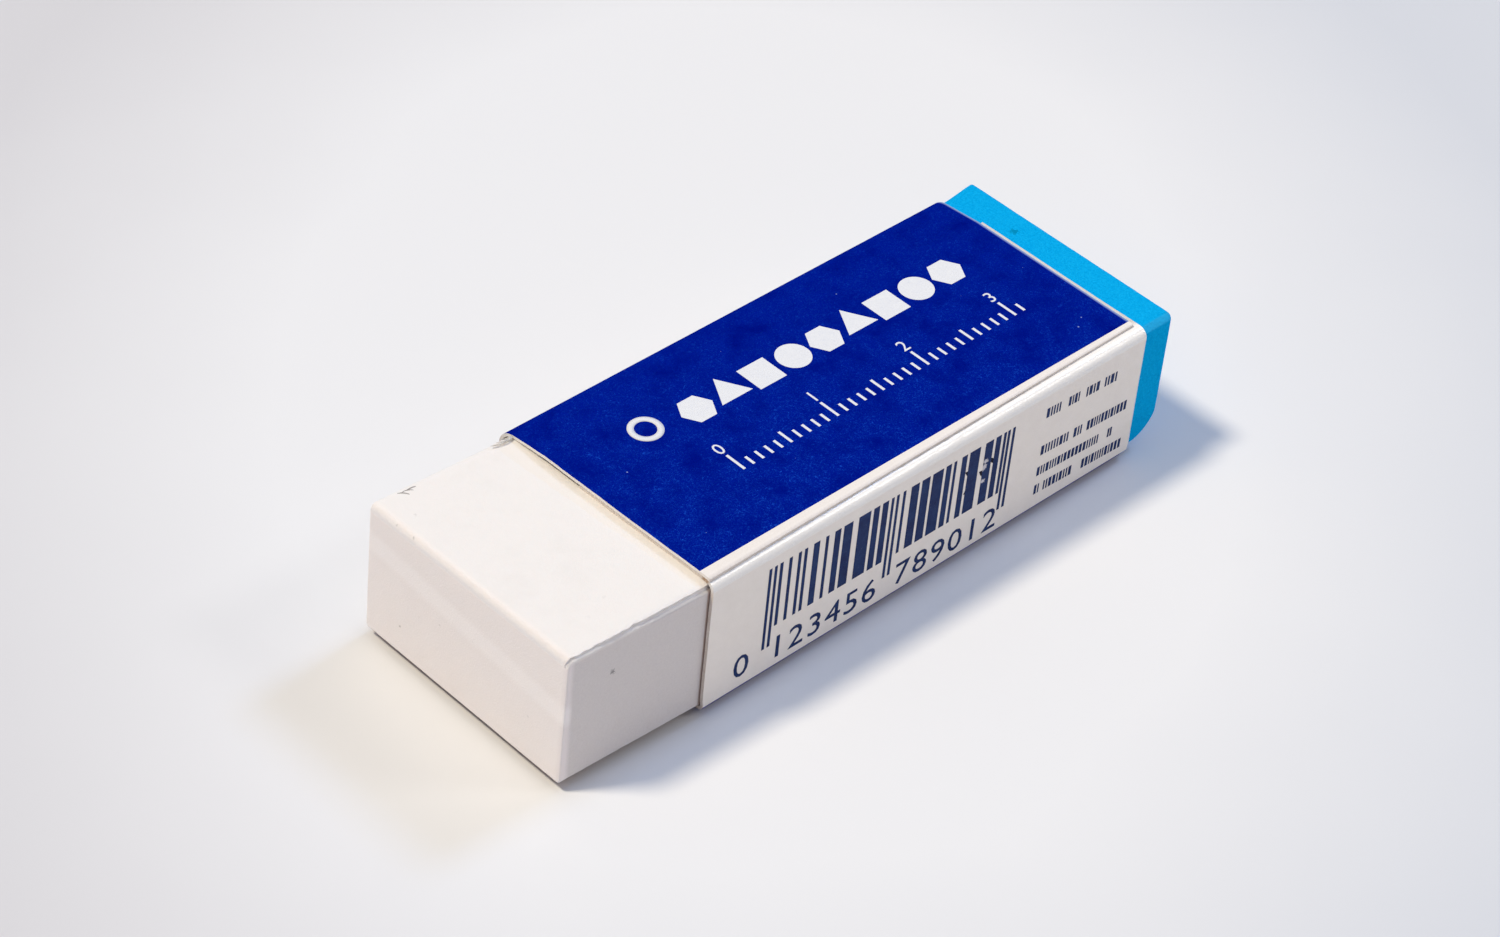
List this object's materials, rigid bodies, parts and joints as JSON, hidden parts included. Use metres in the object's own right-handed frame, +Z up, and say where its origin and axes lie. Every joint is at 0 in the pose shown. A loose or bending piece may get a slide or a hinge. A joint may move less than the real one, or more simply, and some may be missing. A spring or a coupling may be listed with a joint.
{
  "type": "rubber eraser",
  "caption": "Block eraser of white vinyl with a light blue end for ink, in a folded card sleeve that slides along it and pulls off. The sleeve is white with a dark blue panel on top.",
  "frame": {"origin": "middle of the whole part's footprint, on the underside of the sleeve, which is the plane it rests on", "axes": "+X along the eraser from the white end to the blue end, +Z up through the printed panel, +Y towards the far long side"},
  "size_m": [0.065, 0.0234, 0.0132],
  "materials": {
    "white_vinyl": "matt, slightly waxy white vinyl, with worn edges and a few dark specks",
    "blue_vinyl": "matt light blue vinyl with a fine gritty filler",
    "sleeve_card": "coated white card, printed dark blue on top and at its far fold, with bare fibre at its cut edges"
  },
  "bodies": {
    "eraser": {"white_block": "white_vinyl", "blue_end": "blue_vinyl"},
    "sleeve": {"card_sleeve": "sleeve_card"}
  },
  "joints": [
    {"name": "sleeve_slide", "type": "slide", "parent": "eraser", "child": "sleeve", "axis": [1, 0, 0], "range_m": [-0.062, 0.053]}
  ]
}
